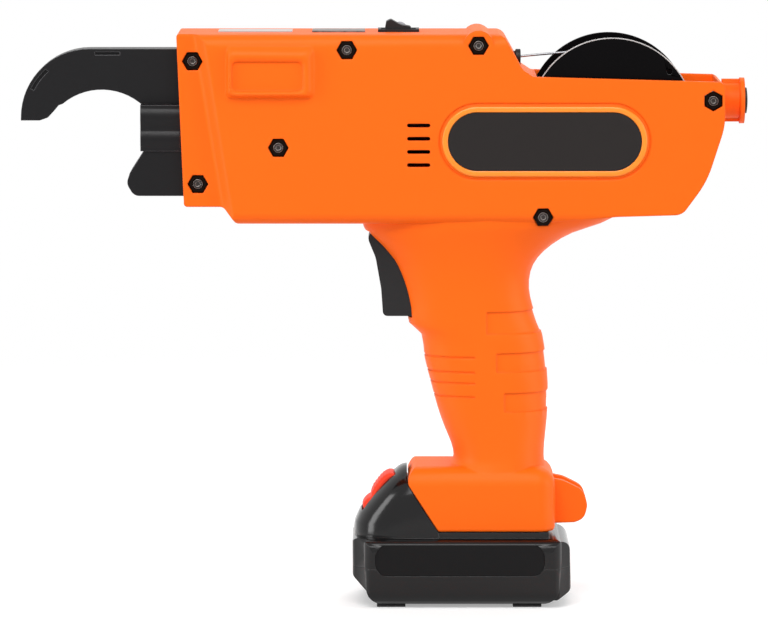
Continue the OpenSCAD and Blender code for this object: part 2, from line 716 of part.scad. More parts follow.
// Rocker switch
rocker_p = [6.1, body_top - 1];
module rocker_frame() {
    color(black) difference() {
        union() {
            block([-2.5, 14.7], [-6.5, 6.5], [body_top, body_top + 1.2]);
            block([-1.6, 13.7], [-5.4, 5.4], [body_top - 7.8, body_top]);
        }
        block([-1.2, 13.3], [-4.4, 4.4], [body_top - 6.5, body_top + 2]);
        bar(rocker_p, 1.2 + run_clear, -5.2, 5.2);
    }
}
module rocker() {
    color(black) {
        across(-4, 4) polygon(rounded([[0, body_top - 1.5, 0.5], [0.9, body_top + 4.2, 0.5],
            [2.8, body_top + 5.2, 1], [6.9, body_top + 2.9, 6], [11.1, body_top + 2.2, 1],
            [12.2, body_top - 1.5, 0.5]]));
        bar(rocker_p, 1.2, -5.1, 5.1);
    }
}
module lens() {
    color("#9a9a9e") translate([6.5, 12, body_top]) intersection() {
        sphere(r = 3.4);
        cylinder(r = 4, h = 4);
    }
}
module reel_stub() {
    color(steel) bar([reel_x, reel_z], reel_bore - run_clear, -body_half + wall, -reel_half + 9);
}
module reel() {
    color("#1a171b") translate([reel_x, 0, reel_z]) rotate([90, 0, 0]) difference() {
        rotate_extrude($fn = 96) polygon([[reel_bore, -reel_half], [reel_r, -reel_half],
            [reel_r, -reel_half + flange_t], [hub_r, -reel_half + flange_t], [hub_r, reel_half - flange_t],
            [reel_r, reel_half - flange_t], [reel_r, reel_half], [reel_bore, reel_half]]);
        for (a = [40:120:280]) rotate(a) translate([reel_r - 3, 0, -30]) cylinder(r = 1.2, h = 60);
    }
}
// Wound wire under the outer layer
module wire_core() {
    color(steel) translate([reel_x, 0, reel_z]) rotate([90, 0, 0]) rotate_extrude($fn = 96)
        translate([hub_r + 0.05, -reel_half + flange_t + 0.05])
            square([wind_r * cos(180 / wind_rings) - wire_d / 2 - hub_r - 0.1,
                2 * (reel_half - flange_t) - 0.1]);
}
// Outer layer of wire, one helix over the core
wind_r = core_r + wire_d / 2 + 0.05;
wind_pitch = (2 * (reel_half - flange_t) - 2 * wire_d) / turns;
wind_rings = 24;
function wind_point(i) = let (a = 360 * i / wind_rings)
    [wind_r * cos(a), wind_r * sin(a), wind_pitch * (i / wind_rings - turns / 2)];
function wind_ring(i) = let (a = 360 * i / wind_rings)
    [for (k = [0:5]) wind_point(i)
        + wire_d / 2 * (cos(60 * k) * [cos(a), sin(a), 0] + sin(60 * k) * [0, 0, 1])];
wind_points = [for (i = [0:turns * wind_rings]) wind_point(i)];
// Least gap between neighbouring loops, measured on points
wind_gap = min([for (i = [0:3:(turns - 1) * wind_rings], j = [wind_rings / 2:1.5 * wind_rings])
    if (i + j <= turns * wind_rings) norm(wind_points[i] - wind_points[i + j])]) - wire_d;
echo(wind_gap = wind_gap);
module wire_winding() {
    color(steel) translate([reel_x, 0, reel_z]) rotate([90, 0, 0])
        skin([for (i = [0:turns * wind_rings]) wind_ring(i)]);
}
module reel_pin() {
    color(steel) {
        bar([reel_x, reel_z], reel_bore - run_clear, reel_half + 1.2 - pin_travel, body_half + 0.3);
        difference() {
            bar([reel_x, reel_z], 11, body_half + 0.2, body_half + 0.2 + knob_t);
            for (a = [0:30:330]) bar([reel_x + 12 * cos(a), reel_z + 12 * sin(a)], 1.8, body_half, 40);
        }
    }
}
// Boss on the rear wall, with a flanged end, a stiffening web and a push button
flange_r = 9.6;
web_y = [0, 4];
module rear_boss() {
    color(orange) difference() {
        union() {
            rod([0, boss_z], 3, rear_x - wall, rear_x + eps);
            rod([0, boss_z], 7.5, rear_x, boss_end - 1.9);
            rod([0, boss_z], flange_r, boss_end - 2, boss_end);
            block([rear_x, boss_end - 1], web_y, [boss_z - flange_r + 0.7, boss_z + flange_r - 0.7]);
        }
        rod([0, boss_z], button_r + 0.1, boss_end - button_seat - button_travel - 0.3, boss_end + 1);
    }
}
module rear_button() {
    color(black) intersection() {
        rod([0, boss_z], button_r, boss_end - button_seat, button_end);
        translate([button_end - dome_r, 0, boss_z]) sphere(r = dome_r, $fn = 160);
    }
}
module terminal_block() {
    color("#4a4a4e") {
        block([61, 66], [-tongue_neck, tongue_neck], [foot_bottom + 1.2, tongue_top]);
        for (y = [-8, 0, 8]) block([53, 61.5], [y - 0.4, y + 0.4], [foot_bottom + 4, foot_bottom + 9]);
    }
}
module housing_screws() {
    color(steel) for (s = screws) {
        difference() {
            bar([s.x, s.y], screw_r, -s[2] + 0.6, s[2] - pocket_d + eps);
            bar([s.x, s.y], screw_r / 2, -s[2], -s[2] + 1.4);
        }
        bar([s.x, s.y], 3.6, s[2] - pocket_d, s[2] - 1);
    }
}
module housing_nuts() {
    color("#55565a") for (s = screws) difference() {
        translate([s.x, -s[2] + pocket_d, s.y]) rotate([90, s.x == screws[6].x ? 30 : 0, 0])
            cylinder(d = nut_af / cos(30), h = nut_h, $fn = 6);
        bar([s.x, s.y], screw_r + 0.02, -40, 0);
    }
}

// Battery sides, with their draft, round three cells side by side
battery_taper = 0.8;
battery_half = 3 * cell_r + battery_wall + battery_taper + 0.1;
shoulder_z = foot_bottom - 2.9;
battery_x = [-8.6, 74.4];
module battery_form(inset) {
    low = feet_h + inset;
    high = shoulder_z - inset;
    side = battery_half - inset;
    ends = [battery_x[0] + inset, battery_x[1] - inset];
    intersection() {
        linear_extrude(shoulder_z) polygon(rounded([[ends[0], -side, 5], [ends[1], -side, 5],
            [ends[1], side, 5], [ends[0], side, 5]]));
        across(-40, 40) polygon(rounded([[ends[0] + 1.5, low, 8 - inset], [ends[0] - 0.5, high, 3],
            [ends[1] + 0.5, high, 3], [ends[1] - 1.5, low, 8 - inset]]));
        translate([-50, 0, 0]) rotate([90, 0, 90]) linear_extrude(200)
            polygon(rounded([[-side + battery_taper, low, 6 - inset], [-side, high, 5 - inset],
                [side, high, 5 - inset], [side - battery_taper, low, 6 - inset]]));
    }
}
// Narrower bulges on the front and rear ends of the battery
nose_reach = 4.6;
tail_reach = 4;
module battery_bulges() {
    front = battery_x[0] - nose_reach;
    rear = battery_x[1] + tail_reach;
    intersection() {
        linear_extrude(shoulder_z) polygon(rounded([[front, -19, 4], [battery_x[0] + 1, -25, 0],
            [battery_x[1] - 1, -27, 0], [rear, -21, 4], [rear, 21, 4], [battery_x[1] - 1, 27, 0],
            [battery_x[0] + 1, 25, 0], [front, 19, 4]]));
        across(-40, 40) polygon(rounded([[battery_x[0] + 2, feet_h + 5, 0], [front, feet_h + 11.5, 3],
            [front - 0.4, shoulder_z, 3], [rear - 0.6, shoulder_z - 1, 4], [rear, feet_h + 5.5, 3],
            [battery_x[1] - 2, feet_h + 2, 0]]));
    }
}
module battery_outer() {
    battery_form(0);
    battery_bulges();
}
// Tower in front of the foot: share of its height, front end and share of the foot's width
tower_h = foot_top - 2.9 - shoulder_z;
tower_rows = [[-0.14, -12.6, 1], [0.05, -12.8, 1], [0.2, -12.2, 1], [0.345, -10.4, 0.996],
    [0.493, -7.6, 0.987], [0.642, -4.4, 0.962], [0.772, -1.4, 0.91], [0.884, 1.4, 0.81],
    [0.963, 4, 0.66], [1, 6.5, 0.47]];
tower_power = 3;
tower_back = 24;
function swell(v) = sign(v) * pow(abs(v), 2 / tower_power);
module tower() {
    intersection() {
        skin([for (r = tower_rows) [for (t = [90:-9:-90])
            [tower_back - (tower_back - r.y) * swell(cos(t)), r[2] * foot_half * swell(sin(t)),
                shoulder_z + r.x * tower_h]]]);
        across(-40, 40) polygon([[-20, shoulder_z - 4], [tower_back, shoulder_z - 4],
            foot_heel + tower_step, foot_nose + tower_step, [foot_nose.x + tower_step.x, foot_top],
            [-20, foot_top]]);
    }
}
// Bare side panel in a shallow recess across the seam
panel_x = [-3.5, 67];
panel_z = [seam_z - 2.7, shoulder_z - 2.1];
panel_y = -battery_half + 1.1;
panel_t = 0.5;
module battery_panel(g, y) {
    across(y, panel_y) polygon(rounded([[panel_x[0] - g, panel_z[0] - g, 5 + g],
        [panel_x[1] + g, panel_z[0] - g, 5 + g], [panel_x[1] + g, panel_z[1] + g, 5 + g],
        [panel_x[0] - g, panel_z[1] + g, 5 + g]]));
}
module battery_plate() {
    color("#262427") battery_panel(0, panel_y - panel_t);
}
// Frame of the sloping release button
slope_p = [-3, shoulder_z + 18.5];
slope_a = 142.9;
button_sink = 2.4;
button_rise = 0.9;
module on_slope() {
    translate([slope_p.x, 0, slope_p.y]) rotate([0, -slope_a, 0]) children();
}
module battery_tub() {
    color(black) difference() {
        intersection() {
            battery_outer();
            block([-60, 120], [-60, 60], [0, seam_z]);
        }
        battery_form(battery_wall);
        battery_panel(0.15, -40);
    }
}
module battery_cover() {
    color(black) difference() {
        union() {
            intersection() {
                battery_outer();
                block([-60, 120], [-60, 60], [seam_z, 60]);
            }
            block([21, 69], [-foot_half + 1, foot_half - 1], [shoulder_z - 1, foot_bottom - gap]);
            block([26, tongue_end], [-tongue_neck, tongue_neck], [shoulder_z, tongue_top]);
            block([26, tongue_end], [-tongue_half, tongue_half], [rail_z, tongue_top]);
            tower();
        }
        battery_panel(0.15, -40);
        battery_form(battery_wall);
        on_slope() block([-button_sink - release_travel - 1, 8], [-9.4, 9.4], [-10.4, 10.4]);
        for (y = [-8, 0, 8]) block([51, 70], [y - 0.8, y + 0.8], [foot_bottom + 3.5, foot_bottom + 9.5]);
        block([48, 51.1], [-11, 11], [foot_bottom + 3, foot_bottom + 9.8]);
    }
}
module battery_contacts() {
    color("#c39a4a") block([48.2, 50.6], [-10.5, 10.5], [foot_bottom + 3.2, foot_bottom + 9]);
}
module battery_cells() {
    color("#3f6fae") for (i = [-1:1])
        rod([i * (2 * cell_r + 0.05), feet_h + battery_wall + cell_r + 0.1], cell_r, 0, cell_l);
}
board_z = feet_h + battery_wall + 2 * cell_r + 0.5;
module battery_board() {
    color("#27633c") block([5, 60], [-24, 24], [board_z, board_z + 1.6]);
}
module battery_feet() {
    color("#1e1c1f") for (x = [-3, 54], s = [-1, 1])
        block([x, x + 12], s > 0 ? [10, 24] : [-24, -10], [0, feet_h]);
}
module release_button() {
    color("#d8402c") on_slope() difference() {
        block([-button_sink, button_rise], [-9, 9], [-10, 10]);
        translate([button_rise + 4, 0, 0]) rotate([90, 0, 0]) cylinder(r = 4.7, h = 40, center = true);
    }
}

left_housing();
right_housing();
label_plate();
top_strip();
top_panel();
curl_guide();
throat_block();
lower_jaw();
wire_inlet();
guide_tube();
wire_lead();
cutter_die();
front_bush();
twist_motor();
gearbox();
feed_motor();
feed_bracket();
control_board();
trigger_switch();
rocker_frame();
lens();
reel_stub();
rear_boss();
terminal_block();
housing_screws();
housing_nuts();
trigger();
rocker();
twist_spindle();
twist_hook();
feed_wheel();
pinch_wheel();
reel();
wire_core();
wire_winding();
reel_pin();
rear_button();
battery_cover();
battery_tub();
battery_plate();
battery_cells();
battery_board();
battery_contacts();
battery_feet();
release_button();
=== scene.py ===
"""Looks of a hand held rebar tying tool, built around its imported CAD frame."""

import json
import math

import bpy
import numpy as np
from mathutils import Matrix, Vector


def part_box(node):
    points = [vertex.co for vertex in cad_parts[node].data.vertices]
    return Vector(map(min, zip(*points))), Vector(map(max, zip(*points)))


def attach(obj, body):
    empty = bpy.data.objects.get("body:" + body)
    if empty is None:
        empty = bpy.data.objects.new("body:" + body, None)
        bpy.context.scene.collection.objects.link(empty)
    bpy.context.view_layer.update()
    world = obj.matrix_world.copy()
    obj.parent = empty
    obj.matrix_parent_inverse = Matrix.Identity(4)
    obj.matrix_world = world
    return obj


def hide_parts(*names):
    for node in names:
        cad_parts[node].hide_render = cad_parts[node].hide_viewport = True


bl_info = {
    "name": "Rebar Tying Tool Looks",
    "version": (1, 0, 0),
    "blender": (4, 5, 0),
    "location": "View3D > Sidebar > Tying Tool",
    "description": "Finishes and fine pieces for a hand held rebar tying tool",
    "category": "Object",
}

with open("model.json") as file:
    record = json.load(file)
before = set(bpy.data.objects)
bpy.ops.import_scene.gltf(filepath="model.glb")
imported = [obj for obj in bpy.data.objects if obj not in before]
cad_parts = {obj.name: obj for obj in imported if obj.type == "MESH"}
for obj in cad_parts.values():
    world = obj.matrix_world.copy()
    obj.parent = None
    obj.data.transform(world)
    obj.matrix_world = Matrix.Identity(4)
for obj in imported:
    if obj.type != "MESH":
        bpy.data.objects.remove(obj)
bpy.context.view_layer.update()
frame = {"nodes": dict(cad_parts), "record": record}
NODES = frame["nodes"]
MM = 0.001
ACROSS = np.array([0.0, 1.0, 0.0])


def linear(hex_colour):
    """An sRGB hex value as a linear red, green and blue."""
    part = np.array([int(hex_colour[i:i + 2], 16) for i in (1, 3, 5)]) / 255
    low = part / 12.92
    high = ((part + 0.055) / 1.055) ** 2.4
    return tuple(float(x) for x in np.where(part <= 0.04045, low, high))


class FinishSettings(bpy.types.PropertyGroup):
    """Colours of the finishes."""

    housing: bpy.props.FloatVectorProperty(
        name="Housing", description="Moulded housing, grip and foot",
        subtype="COLOR", size=3, min=0, max=1, default=linear("#fb6508"))
    black: bpy.props.FloatVectorProperty(
        name="Black plastic", description="Trigger, rocker switch and rear button",
        subtype="COLOR", size=3, min=0, max=1, default=linear("#141314"))
    jaw: bpy.props.FloatVectorProperty(
        name="Jaw", description="Blackened curl guide and jaws",
        subtype="COLOR", size=3, min=0, max=1, default=linear("#0d0c0e"))
    battery: bpy.props.FloatVectorProperty(
        name="Battery", description="Battery case",
        subtype="COLOR", size=3, min=0, max=1, default=linear("#080708"))
    release: bpy.props.FloatVectorProperty(
        name="Release button", description="Battery release button",
        subtype="COLOR", size=3, min=0, max=1, default=linear("#e9412a"))
    strip: bpy.props.FloatVectorProperty(
        name="Top strip", description="Pale film on the top face",
        subtype="COLOR", size=3, min=0, max=1, default=linear("#b5afac"))


class ShapeSettings(bpy.types.PropertyGroup):
    """Sizes of the fine pieces."""

    edge_round: bpy.props.FloatProperty(
        name="Moulded edge", description="Rounding of the housing's edges",
        subtype="DISTANCE", unit="LENGTH", default=1.1 * MM, min=0, precision=5)
    wire: bpy.props.FloatProperty(
        name="Tie wire", description="Diameter of the tie wire",
        subtype="DISTANCE", unit="LENGTH", default=1.0 * MM, min=0.4 * MM, precision=5)
    turns: bpy.props.IntProperty(
        name="Turns", description="Turns of wire in the outer layer", default=35, min=1)
    head: bpy.props.FloatProperty(
        name="Screw head", description="Radius of the screws' domed heads",
        subtype="DISTANCE", unit="LENGTH", default=3.3 * MM, min=3 * MM, precision=5)
    dome: bpy.props.FloatProperty(
        name="Dome", description="Height of the screws' domed heads",
        subtype="DISTANCE", unit="LENGTH", default=0.85 * MM, min=0.2 * MM, precision=5)
    socket: bpy.props.FloatProperty(
        name="Socket", description="Width across the flats of the screws' sockets",
        subtype="DISTANCE", unit="LENGTH", default=2.5 * MM, min=1 * MM, max=4 * MM, precision=5)
    rib_pitch: bpy.props.FloatProperty(
        name="Rib pitch", description="Spacing of the ribs on the release button",
        subtype="DISTANCE", unit="LENGTH", default=1.6 * MM, min=1 * MM, precision=5)
    rib_height: bpy.props.FloatProperty(
        name="Rib height", description="Half the height of the ribs on the release button",
        subtype="DISTANCE", unit="LENGTH", default=0.15 * MM, min=0, precision=5)


class StageSettings(bpy.types.PropertyGroup):
    """Camera and light."""

    lens: bpy.props.FloatProperty(
        name="Lens", description="Focal length", unit="CAMERA", default=270.17, min=1)
    distance: bpy.props.FloatProperty(
        name="Distance", description="From the camera to the near side",
        subtype="DISTANCE", unit="LENGTH", default=2.4, min=0.1)
    elevation: bpy.props.FloatProperty(
        name="Elevation", description="Height of the camera above the horizon",
        subtype="ANGLE", unit="ROTATION", default=math.radians(6.15))
    azimuth: bpy.props.FloatProperty(
        name="Azimuth", description="Turn of the camera towards the rear",
        subtype="ANGLE", unit="ROTATION", default=0.0)
    aim: bpy.props.FloatVectorProperty(
        name="Aim", description="Point on the near side that the camera looks at",
        subtype="TRANSLATION", unit="LENGTH", default=(0.0, -26 * MM, 123.7 * MM), precision=5)
    fill: bpy.props.FloatProperty(
        name="Fill", description="Level of the soft light from all round", default=0.24, min=0)


# Meshes

def corners(node):
    """The lowest and highest corners of a CAD node."""
    low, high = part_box(node)
    return np.array(low), np.array(high)


def points_of(node):
    """The points of a CAD node's mesh."""
    mesh = NODES[node].data
    points = np.empty(len(mesh.vertices) * 3)
    mesh.vertices.foreach_get("co", points)
    return points.reshape(-1, 3)


def new_piece(name, surface, body):
    """A mesh object from a surface's points and faces that rides on a body."""
    points, faces = surface
    mesh = bpy.data.meshes.new(name)
    mesh.from_pydata(points.tolist(), [], faces)
    mesh.validate()
    mesh.shade_smooth()
    obj = bpy.data.objects.new(name, mesh)
    bpy.context.scene.collection.objects.link(obj)
    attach(obj, body)
    return obj


def between(first, last, way):
    """A value that goes evenly from first to last as way goes from 0 to 1."""
    return first + (last - first) * way


def about_width(turn):
    """Unit directions at angles about the tool's width: X by the cosine and Z by the sine."""
    return np.stack([np.cos(turn), np.zeros_like(turn), np.sin(turn)], -1)


def loft(rings):
    """Rings of as many points each, joined in order, with flat ends."""
    count, sides = rings.shape[:2]
    i, j = np.meshgrid(np.arange(count - 1), np.arange(sides), indexing="ij")
    a = i * sides + j
    b = i * sides + (j + 1) % sides
    quads = np.stack([a, b, b + sides, a + sides], -1).reshape(-1, 4).tolist()
    last = (count - 1) * sides
    ends = [list(range(sides - 1, -1, -1)), list(range(last, last + sides))]
    return rings.reshape(-1, 3), quads + ends


def tube(path, side, up, radius, sides):
    """A ring of points radius * (side * cos + up * sin) carried along a path, with flat ends."""
    turn = np.linspace(0, 2 * np.pi, sides, endpoint=False)
    ring = radius * (np.cos(turn)[:, None] * side[:, None, :] + np.sin(turn)[:, None] * up[:, None, :])
    return loft(path[:, None, :] + ring)


def hoop(loop, out, profile):
    """A closed profile of [outwards, across] points carried round a closed loop."""
    count, sides = len(loop), len(profile)
    points = loop[:, None, :] + profile[:, 0, None] * out[:, None, :] + profile[:, 1, None] * ACROSS
    i, j = np.meshgrid(np.arange(count), np.arange(sides), indexing="ij")
    after = (i + 1) % count * sides
    along = (j + 1) % sides
    quads = np.stack([i * sides + j, i * sides + along, after + along, after + j], -1)
    return points.reshape(-1, 3), quads.reshape(-1, 4).tolist()


def smooth_path(points, count):
    """A cubic through the points, which passes each one along the line between its neighbours."""
    knots = np.concatenate([points[:1], points, points[-1:]])
    t = np.linspace(0, len(points) - 1 - 1e-9, count)
    k = t.astype(int)
    f = (t - k)[:, None]
    a, b, c, d = knots[k], knots[k + 1], knots[k + 2], knots[k + 3]
    return b + 0.5 * f * (c - a + f * (2 * a - 5 * b + 4 * c - d + f * (3 * (b - c) + d - a)))


def soften(node, width=0.0, angle=30):
    """Welds a CAD node's triangles, rounds edges past an angle by width and shades the rest smooth."""
    obj = NODES[node]
    normals = obj.data.attributes.get("custom_normal")
    if normals:
        obj.data.attributes.remove(normals)
    obj.data.shade_smooth()
    weld = obj.modifiers.new("weld", "WELD")
    weld.merge_threshold = 0.002 * MM
    if width:
        bevel = obj.modifiers.new("edges", "BEVEL")
        bevel.width = width
        bevel.segments = 3
        bevel.limit_method = "ANGLE"
        bevel.angle_limit = math.radians(angle)
        bevel.miter_outer = "MITER_ARC"
    split = obj.modifiers.new("sharp", "EDGE_SPLIT")
    split.split_angle = math.radians(angle)
    obj.modifiers.new("faces", "WEIGHTED_NORMAL")


# Materials

def add(tree, kind, settings, links):
    """One node with its settings; links sets an input from a value or another node's output."""
    made = tree.nodes.new(kind)
    for key, value in settings.items():
        setattr(made, key, value)
    for key, value in links.items():
        socket = made.inputs[key]
        if isinstance(value, bpy.types.NodeSocket):
            tree.links.new(value, socket)
        else:
            socket.default_value = value
    return made


def seen_by_eye(tree):
    """1 on rays from the camera and on those that mirrors and glass pass on, 0 on the rest."""
    path = add(tree, "ShaderNodeLightPath", {}, {}).outputs
    seen = add(tree, "ShaderNodeMath", {"operation": "MAXIMUM"},
               {0: path["Is Camera Ray"], 1: path["Is Glossy Ray"]}).outputs[0]
    return add(tree, "ShaderNodeMath", {"operation": "MAXIMUM"},
               {0: seen, 1: path["Is Transmission Ray"]}).outputs[0]


def finish(name, colour, *, roughness, grain_mm, depth_mm, tone=0.04, sheen=0.06, metallic=0.0,
           specular=0.5, gloss=(1.0, 1.0, 1.0), edge_mm=0.0, drift_mm=45, edge_wear_and_highlight=None):
    """A surface with a grain in its relief and roughness, a slow drift of tone and soft edges, or paler
    edges of painted wear and painted highlight.
    """
    # Real mould and casting grain is finer than a pixel, so grain_mm is as coarse as it needs to show
    made = bpy.data.materials.new(name)
    made.use_nodes = True
    made.diffuse_color = (*colour, 1)
    tree = made.node_tree
    tree.nodes.clear()
    place = add(tree, "ShaderNodeTexCoord", {}, {}).outputs["Object"]
    drift = add(tree, "ShaderNodeTexNoise", {}, {
        "Vector": place, "Scale": 1 / (drift_mm * MM), "Detail": 2.0})
    grain = add(tree, "ShaderNodeTexNoise", {}, {
        "Vector": place, "Scale": 1 / (grain_mm * MM), "Detail": 3.0})
    tint = add(tree, "ShaderNodeMix", {"data_type": "RGBA"}, {
        "Factor": drift.outputs["Fac"],
        "A": (*[max(0, x * (1 - tone)) for x in colour], 1),
        "B": (*[min(1, x * (1 + tone)) for x in colour], 1)})
    rough = add(tree, "ShaderNodeMapRange", {}, {
        "Value": grain.outputs["Fac"], "From Min": 0.3, "From Max": 0.7,
        "To Min": roughness - sheen, "To Max": roughness + sheen})
    relief = add(tree, "ShaderNodeBump", {}, {
        "Height": grain.outputs["Fac"], "Strength": 1.0, "Distance": depth_mm * MM})
    base = tint.outputs["Result"]
    if edge_mm:
        edge = add(tree, "ShaderNodeBevel", {"samples": 6}, {"Radius": edge_mm * MM}).outputs["Normal"]
        tree.links.new(edge, relief.inputs["Normal"])
        # The paler edge colour is partly painted wear and partly a painted highlight along the rounded edges
        if edge_wear_and_highlight:
            base = edges_worn_and_highlit(tree, edge, base, edge_wear_and_highlight)
    surface = add(tree, "ShaderNodeBsdfPrincipled", {}, {
        "Base Color": base, "Roughness": rough.outputs["Result"], "Normal": relief.outputs["Normal"],
        "Metallic": metallic, "Specular IOR Level": specular, "Specular Tint": (*gloss, 1)})
    add(tree, "ShaderNodeOutputMaterial", {}, {"Surface": surface.outputs["BSDF"]})
    return made


def edges_worn_and_highlit(tree, edge, base, edge_wear_and_highlight):
    """The base colour, turning to a paler edge colour where the rounded normal leaves the flat one: painted
    wear and painted highlight on the edges.
    """
    flat = add(tree, "ShaderNodeNewGeometry", {}, {}).outputs["Normal"]
    along = add(tree, "ShaderNodeVectorMath", {"operation": "DOT_PRODUCT"}, {0: edge, 1: flat})
    share = add(tree, "ShaderNodeMapRange", {}, {
        "Value": along.outputs["Value"], "From Min": 0.99, "From Max": 0.85})
    return add(tree, "ShaderNodeMix", {"data_type": "RGBA"}, {
        "Factor": share.outputs["Result"], "A": base, "B": (*edge_wear_and_highlight, 1)}).outputs["Result"]


def paint(material, *nodes):
    """Gives CAD nodes one material."""
    for node in nodes:
        NODES[node].data.materials.clear()
        NODES[node].data.materials.append(material)


def dress(piece, material):
    """Gives a new piece its material."""
    piece.data.materials.append(material)


class TYING_OT_housing(bpy.types.Operator):
    """Finish the moulded halves of the housing and the rear boss"""

    bl_idname = "tying.housing"
    bl_label = "Housing"

    def execute(self, context):
        look = context.scene.tying_finish
        size = context.scene.tying_shape
        # A matt mould texture spreads the highlights, so the colour stays deep and even
        abs_orange = finish("ABS moulded orange", look.housing, roughness=0.5, grain_mm=0.5, depth_mm=0.01,
                            tone=0.03, specular=0.3, gloss=(1.0, 0.8, 0.6), edge_mm=size.edge_round / MM)
        # The bead round the side plate is polished, and its paler orange is a painted highlight along it
        abs_polished_highlit = finish("ABS polished orange", linear("#fd8a1c"), roughness=0.3, grain_mm=0.8,
                              depth_mm=0.003, tone=0.02, sheen=0.03)
        for node in ("left_housing", "right_housing", "rear_boss"):
            soften(node)
            paint(abs_orange, node)
        dress(self.bezel(), abs_polished_highlit)
        return {"FINISHED"}

    def bezel(self):
        """A low rounded band over the bead, round a pill: two half circles joined by straight runs."""
        low, high = corners("label_plate")
        radius = (high[2] - low[2]) / 2
        middle = (low[2] + high[2]) / 2
        half_turn = np.linspace(-0.5, 0.5, 49) * np.pi
        out = about_width(np.concatenate([half_turn, half_turn + np.pi]))
        ends = [[high[0] - radius, low[1], middle], [low[0] + radius, low[1], middle]]
        loop = np.repeat(ends, len(half_turn), axis=0) + radius * out
        profile = np.array([[0.3, 0.5], [0.07, 0.4], [0.27, 0.06], [0.7, -0.05], [1.8, -0.05],
                            [2.28, 0.08], [2.55, 0.42], [2.3, 0.5]]) * MM
        return new_piece("plate_bezel", hoop(loop, out, profile), "body")


class TYING_OT_nose(bpy.types.Operator):
    """Finish the blackened curl guide, throat block and lower jaw"""

    bl_idname = "tying.nose"
    bl_label = "Nose"

    def execute(self, context):
        look = context.scene.tying_finish
        # Oiled black oxide: near black with a soft sheen; its greyer edges are painted, partly as wear from
        # handling and partly as the highlight along them
        oxide = finish("Cast steel black oxide", look.jaw, roughness=0.36, grain_mm=0.7, depth_mm=0.012,
                       tone=0.12, sheen=0.08, specular=0.22, edge_mm=0.5, edge_wear_and_highlight=linear("#5c5b5e"))
        for node in ("curl_guide", "throat_block", "lower_jaw"):
            soften(node, 0.5 * MM)
            paint(oxide, node)
        return {"FINISHED"}


class TYING_OT_reel(bpy.types.Operator):
    """Make the wound wire and its lead, and finish the reel"""

    bl_idname = "tying.reel"
    bl_label = "Reel and wire"

    def execute(self, context):
        size = context.scene.tying_shape
        # Drawn wire: bright thin lines along each turn
        wire_steel = finish("Annealed steel tie wire", linear("#8f8f92"), roughness=0.32, grain_mm=0.8,
                            depth_mm=0.01, tone=0.08, metallic=1.0)
        # Deep black that hardly reflects from the side, as in the photograph
        reel_black = finish("Polystyrene gloss black", linear("#070607"), roughness=0.25, grain_mm=1.2,
                            depth_mm=0.003, tone=0.05, sheen=0.04, specular=0.05)
        # A pale band painted over the flange edge as the highlight of the light along it
        painted_highlight = finish("Polystyrene scuffed rim", linear("#b9b6b4"), roughness=0.4, grain_mm=0.8,
                         depth_mm=0.004)
        soften("reel", 0.3 * MM)
        paint(reel_black, "reel")
        paint(wire_steel, "wire_core")
        winding = self.winding(size)
        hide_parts("wire_winding")
        dress(winding, wire_steel)
        lead = self.lead(size)
        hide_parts("wire_lead")
        dress(lead, wire_steel)
        # The rim band's pale colour is a painted highlight on the flange edge
        dress(self.rim(), painted_highlight)
        return {"FINISHED"}

    def winding(self, size):
        """A helix about the reel axis: the angle grows evenly and the width with it."""
        low, high = corners("wire_winding")
        centre = (low + high) / 2
        radius = (high[2] - low[2]) / 2 - size.wire / 2
        width = high[1] - low[1] - size.wire
        steps_a_turn = 60
        turn = np.linspace(0, 2 * np.pi * size.turns, size.turns * steps_a_turn + 1)
        out = about_width(turn)
        side = np.tile(ACROSS, (len(turn), 1))
        path = centre + radius * out + (turn / turn[-1] - 0.5)[:, None] * width * side
        return new_piece("tie_wire_turns", tube(path, out, side, size.wire / 2, 8), "reel")

    def rim(self):
        """A narrow band turned about the reel axis, over the outer edge of the near flange."""
        low, high = corners("reel")
        centre = (low + high) / 2
        radius = (high[2] - low[2]) / 2
        out = about_width(np.linspace(0, 2 * np.pi, 180, endpoint=False))
        loop = np.array([centre[0], low[1], centre[2]]) + radius * out
        profile = np.array([[-0.42, 0.1], [-0.42, -0.04], [0.03, -0.04], [0.03, 0.3], [-0.1, 0.3]]) * MM
        return new_piece("reel_rim", hoop(loop, out, profile), "reel")

    def lead(self, size):
        """A round wire carried along a cubic from the feed wheels to the top of the reel."""
        low, high = corners("wire_lead")
        rise = high[2] - low[2] - size.wire
        run = np.array([0, 0.08, 0.2, 0.32, 0.48, 0.64, 0.8, 1.0])
        climb = np.array([0, 0.08, 0.37, 0.53, 0.69, 0.82, 0.94, 1.0])
        knots = np.stack([between(low[0], high[0], run), np.zeros_like(run),
                          low[2] + size.wire / 2 + climb * rise], -1)
        path = smooth_path(knots, 60)
        ahead = np.gradient(path, axis=0)
        ahead /= np.linalg.norm(ahead, axis=1)[:, None]
        side = np.tile(ACROSS, (len(path), 1))
        surface = tube(path, side, np.cross(ahead, side), size.wire / 2, 10)
        return new_piece("tie_wire_lead", surface, "body")


class TYING_OT_controls(bpy.types.Operator):
    """Finish the trigger, rocker switch, lens and buttons"""

    bl_idname = "tying.controls"
    bl_label = "Controls"

    def execute(self, context):
        look = context.scene.tying_finish
        # Fine mould texture: dark grey with no mirror image
        satin = finish("Nylon moulded satin black", look.black, roughness=0.45, grain_mm=0.45,
                       depth_mm=0.012, tone=0.08, specular=0.3)
        # A milky lens that takes the colour of the light
        frosted = finish("Acrylic frosted grey", linear("#8f8f95"), roughness=0.3, grain_mm=0.6,
                         depth_mm=0.006)
        for node in ("trigger", "rocker", "rocker_frame", "wire_inlet", "rear_button"):
            soften(node, 0.4 * MM)
            paint(satin, node)
        paint(satin, "trigger_switch")
        paint(frosted, "lens")
        NODES["lens"].data.shade_smooth()
        return {"FINISHED"}


